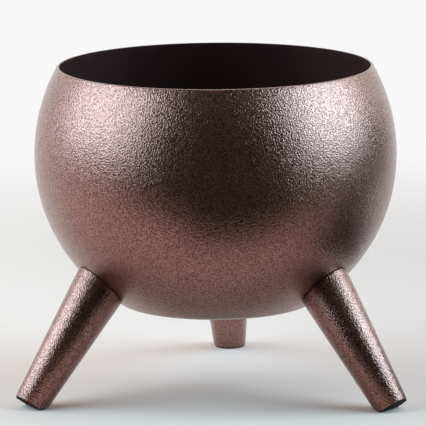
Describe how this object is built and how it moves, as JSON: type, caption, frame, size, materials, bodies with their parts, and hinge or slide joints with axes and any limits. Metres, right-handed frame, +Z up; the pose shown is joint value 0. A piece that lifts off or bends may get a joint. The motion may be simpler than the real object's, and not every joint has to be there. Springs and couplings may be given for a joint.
{
  "type": "tabletop fire pit",
  "caption": "Open-topped flattened-ball steel fire bowl on splayed tapered tube legs, with a lift-out round wire grate inside.",
  "frame": {"origin": "on the ground, under the middle of the bowl, in the plane of the three soles", "axes": "+Z up along the bowl's axis; the front faces -Y; one leg points to +Y and two stand at the front left and front right"},
  "size_m": [0.2574, 0.267, 0.2178],
  "materials": {
    "hammertone_coat": "copper-brown hammertone powder coat outside; matt black heat-resistant paint inside the bowl",
    "foot_rubber": "moulded matt black rubber",
    "plate_steel": "black-primed steel",
    "zinc_steel": "zinc-plated steel fasteners",
    "grate_steel": "matt black heat-resistant coated round wire"
  },
  "bodies": {
    "pit": {"bowl": "hammertone_coat", "leg_1": "hammertone_coat", "leg_2": "hammertone_coat", "leg_3": "hammertone_coat", "foot_plug_1": "foot_rubber", "foot_plug_2": "foot_rubber", "foot_plug_3": "foot_rubber", "leg_plate_1": "plate_steel", "leg_plate_2": "plate_steel", "leg_plate_3": "plate_steel", "leg_nut_1": "zinc_steel", "leg_nut_2": "zinc_steel", "leg_nut_3": "zinc_steel", "leg_bolt_1": "zinc_steel", "leg_bolt_2": "zinc_steel", "leg_bolt_3": "zinc_steel", "leg_washer_1": "zinc_steel", "leg_washer_2": "zinc_steel", "leg_washer_3": "zinc_steel", "leg_lock_washer_1": "zinc_steel", "leg_lock_washer_2": "zinc_steel", "leg_lock_washer_3": "zinc_steel"},
    "grate": {"grate_ring": "grate_steel", "grate_rod_1": "grate_steel", "grate_rod_2": "grate_steel", "grate_bar_1": "grate_steel", "grate_bar_2": "grate_steel", "grate_bar_3": "grate_steel", "grate_bar_4": "grate_steel", "grate_bar_5": "grate_steel", "grate_bar_6": "grate_steel", "grate_bar_7": "grate_steel", "grate_bar_8": "grate_steel", "grate_bar_9": "grate_steel", "grate_bar_10": "grate_steel", "grate_bar_11": "grate_steel", "grate_bar_12": "grate_steel", "grate_bar_13": "grate_steel"}
  },
  "joints": [
    {"name": "grate_lift", "type": "slide", "parent": "pit", "child": "grate", "axis": [0, 0, 1], "range_m": [0, 0.14]}
  ]
}
